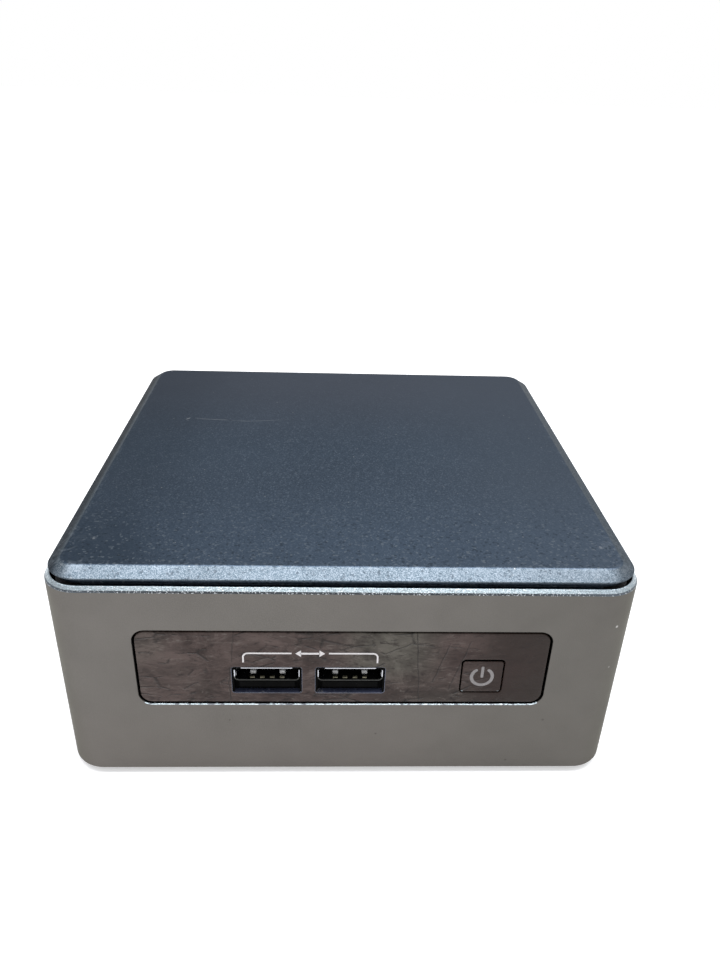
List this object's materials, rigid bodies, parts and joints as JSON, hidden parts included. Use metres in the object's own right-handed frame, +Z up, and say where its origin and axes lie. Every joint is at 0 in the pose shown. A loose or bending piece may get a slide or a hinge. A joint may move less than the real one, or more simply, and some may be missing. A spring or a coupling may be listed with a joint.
{
  "type": "mini pc",
  "caption": "Small square desktop computer in a metal sleeve, with a bevelled lid, a glossy front panel with ports and a power button, and rear ports and vents.",
  "frame": {"origin": "centre of the footprint, on the plane the feet stand on", "axes": "+X to the right seen from the front, +Y towards the back, +Z up; the power button faces -Y"},
  "size_m": [0.115, 0.111, 0.051],
  "materials": {
    "sleeve": "satin anodised brownish grey, with a bright bevelled rim",
    "lid": "slate-blue metallic paint with a fine texture",
    "bezel": "glossy brown-black under a thin protective film",
    "icon": "grey second-shot plastic",
    "deck_black": "black powder coat",
    "rear_black": "fine-grained black",
    "cover_black": "black powder coat",
    "rubber": "matt black",
    "screw_steel": "zinc plated",
    "board_green": "glass-epoxy board with green solder mask",
    "chip_black": "moulded epoxy",
    "cpu_green": "laminate package",
    "brass_nickel": "turned brass",
    "copper": "bare copper",
    "fin_metal": "bare sheet",
    "fan_black": "glass-filled, satin",
    "fan_steel": "bright rolled",
    "winding": "enamelled copper wire",
    "socket_black": "satin",
    "latch_steel": "spring steel",
    "antenna_gold": "stamped foil",
    "cable_black": "satin",
    "port_metal": "nickel plated",
    "tongue_black": "satin",
    "contact_gold": "gold plated",
    "header_ivory": "ivory nylon",
    "cell_steel": "bright",
    "bay_steel": "galvanised",
    "drive_grey": "satin grey case"
  },
  "bodies": {
    "case": {"chassis_shell": "sleeve", "front_bezel": "bezel", "top_deck": "deck_black", "rear_panel": "rear_black", "lid_grommets": "rubber", "deck_screws": "screw_steel", "board_screws": "screw_steel", "cooler_screws": "screw_steel", "motherboard": "board_green", "memory_module_low": "board_green", "memory_module_high": "board_green", "m2_drive": "board_green", "wifi_card": "board_green", "board_chips": "chip_black", "cpu_package": "cpu_green", "board_standoffs": "brass_nickel", "m2_fasteners": "brass_nickel", "cold_plate": "copper", "heat_pipes": "copper", "cooling_fins": "fin_metal", "fan_housing": "fan_black", "fan_cover": "fan_steel", "fan_stator": "winding", "memory_socket_low": "socket_black", "memory_socket_high": "socket_black", "m2_sockets": "socket_black", "power_switch": "socket_black", "dc_jack": "socket_black", "antennas": "antenna_gold", "antenna_cables": "cable_black", "usb_shell_front_left": "port_metal", "usb_shell_front_right": "port_metal", "hdmi_shells": "port_metal", "ethernet_jack": "port_metal", "usb_shell_rear": "port_metal", "dc_jack_pin": "port_metal", "usb_tongues_front": "tongue_black", "rear_port_tongues": "tongue_black", "port_contacts": "contact_gold", "sata_header": "header_ivory", "coin_cell": "cell_steel"},
    "power_button": {"power_button": "bezel", "power_icon": "icon"},
    "fan_rotor": {"fan_impeller": "fan_black", "fan_shaft": "fan_steel"},
    "base": {"bottom_cover": "cover_black", "rubber_feet": "rubber", "drive_bay": "bay_steel", "drive": "drive_grey", "drive_screws": "screw_steel", "sata_cable": "cable_black"},
    "lid": {"top_lid": "lid"},
    "captive_screw_front_left": {"captive_screw_front_left": "screw_steel"},
    "captive_screw_front_right": {"captive_screw_front_right": "screw_steel"},
    "captive_screw_rear_right": {"captive_screw_rear_right": "screw_steel"},
    "captive_screw_rear_left": {"captive_screw_rear_left": "screw_steel"},
    "memory_latch_low_left": {"memory_latch_low_left": "latch_steel"},
    "memory_latch_low_right": {"memory_latch_low_right": "latch_steel"},
    "memory_latch_high_left": {"memory_latch_high_left": "latch_steel"},
    "memory_latch_high_right": {"memory_latch_high_right": "latch_steel"}
  },
  "joints": [
    {"name": "power_button_press", "type": "slide", "parent": "case", "child": "power_button", "axis": [0, 1, 0], "range_m": [0, 0.0007], "stiffness_N_per_m": 900, "springref_m": -0.0004},
    {"name": "fan_spin", "type": "hinge", "parent": "case", "child": "fan_rotor", "pos_m": [-0.0155, -0.0055, 0.0375], "axis": [0, 0, 1], "continuous": true},
    {"name": "bottom_cover_pull", "type": "slide", "parent": "case", "child": "base", "axis": [0, 0, -1], "range_m": [0, 0.06]},
    {"name": "lid_lift", "type": "slide", "parent": "case", "child": "lid", "axis": [0, 0, 1], "range_m": [0, 0.03]},
    {"name": "captive_screw_front_left_turn", "type": "hinge", "parent": "base", "child": "captive_screw_front_left", "pos_m": [-0.048, -0.046, 0.001], "axis": [0, 0, 1], "continuous": true},
    {"name": "captive_screw_front_right_turn", "type": "hinge", "parent": "base", "child": "captive_screw_front_right", "pos_m": [0.048, -0.046, 0.001], "axis": [0, 0, 1], "continuous": true},
    {"name": "captive_screw_rear_right_turn", "type": "hinge", "parent": "base", "child": "captive_screw_rear_right", "pos_m": [0.048, 0.046, 0.001], "axis": [0, 0, 1], "continuous": true},
    {"name": "captive_screw_rear_left_turn", "type": "hinge", "parent": "base", "child": "captive_screw_rear_left", "pos_m": [-0.048, 0.046, 0.001], "axis": [0, 0, 1], "continuous": true},
    {"name": "memory_latch_low_left_open", "type": "hinge", "parent": "case", "child": "memory_latch_low_left", "pos_m": [-0.0501, 0.01915, 0.0253], "axis": [0, 0, -1], "range_deg": [0, 4.5], "stiffness_Nm_per_rad": 0.3, "springref_deg": -2.86},
    {"name": "memory_latch_low_right_open", "type": "hinge", "parent": "case", "child": "memory_latch_low_right", "pos_m": [0.0211, 0.01915, 0.0253], "axis": [0, 0, 1], "range_deg": [0, 4.5], "stiffness_Nm_per_rad": 0.3, "springref_deg": -2.86},
    {"name": "memory_latch_high_left_open", "type": "hinge", "parent": "case", "child": "memory_latch_high_left", "pos_m": [-0.0501, 0.02615, 0.0211], "axis": [0, 0, -1], "range_deg": [0, 4.5], "stiffness_Nm_per_rad": 0.3, "springref_deg": -2.86},
    {"name": "memory_latch_high_right_open", "type": "hinge", "parent": "case", "child": "memory_latch_high_right", "pos_m": [0.0211, 0.02615, 0.0211], "axis": [0, 0, 1], "range_deg": [0, 4.5], "stiffness_Nm_per_rad": 0.3, "springref_deg": -2.86}
  ]
}
